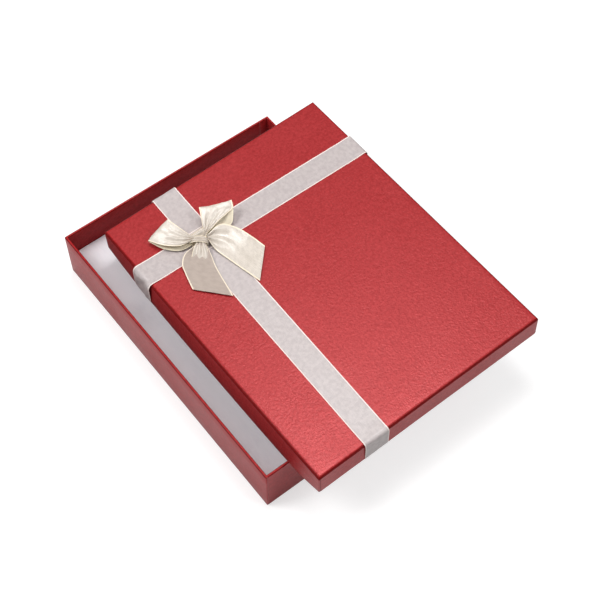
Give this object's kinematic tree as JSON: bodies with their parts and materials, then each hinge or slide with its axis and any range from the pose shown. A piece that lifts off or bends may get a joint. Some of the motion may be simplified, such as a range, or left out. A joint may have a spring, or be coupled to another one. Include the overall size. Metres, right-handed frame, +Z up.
{
  "type": "gift box",
  "caption": "Shallow rigid gift box: a wrapped tray and a lift-off lid lying askew on it, with satin ribbon bands crossing under a tied bow.",
  "frame": {"origin": "centre of the tray's underside, on the surface that the box stands on", "axes": "+Z up, +Y along the tray's long side towards the end nearest the bow, +X across it towards the side that the lid overhangs"},
  "size_m": [0.2128, 0.2738, 0.0771],
  "materials": {
    "pearl_paper": "red pearl paper, satin",
    "greyboard": "uncoated greyboard",
    "corner_tape": "kraft paper tape",
    "lining_paper": "white uncoated paper and card",
    "band_satin": "ivory polyester satin, flat",
    "bow_satin": "ivory polyester satin, glossy",
    "clear_tape": "clear double-sided tape",
    "hot_glue": "hot glue"
  },
  "bodies": {
    "base": {"base_board": "greyboard", "base_wrap": "pearl_paper", "base_platform": "lining_paper", "base_corner_tape_left_near": "corner_tape", "base_corner_tape_right_near": "corner_tape", "base_corner_tape_right_far": "corner_tape", "base_corner_tape_left_far": "corner_tape"},
    "lid": {"lid_board": "greyboard", "lid_wrap": "pearl_paper", "lid_liner": "lining_paper", "lid_corner_tape_left_near": "corner_tape", "lid_corner_tape_right_near": "corner_tape", "lid_corner_tape_right_far": "corner_tape", "lid_corner_tape_left_far": "corner_tape", "ribbon_band_long": "band_satin", "ribbon_band_cross": "band_satin", "ribbon_end_tape_far": "clear_tape", "ribbon_end_tape_near": "clear_tape", "ribbon_end_tape_right": "clear_tape", "ribbon_end_tape_left": "clear_tape", "bow_glue": "hot_glue", "bow_knot": "bow_satin", "bow_loop_left": "bow_satin", "bow_loop_right": "bow_satin", "bow_tail_left": "bow_satin", "bow_tail_right": "bow_satin"}
  },
  "joints": [
    {"name": "lid_lift", "type": "slide", "parent": "base", "child": "lid", "axis": [0, 0, 1], "range_m": [0, 0.08]}
  ]
}
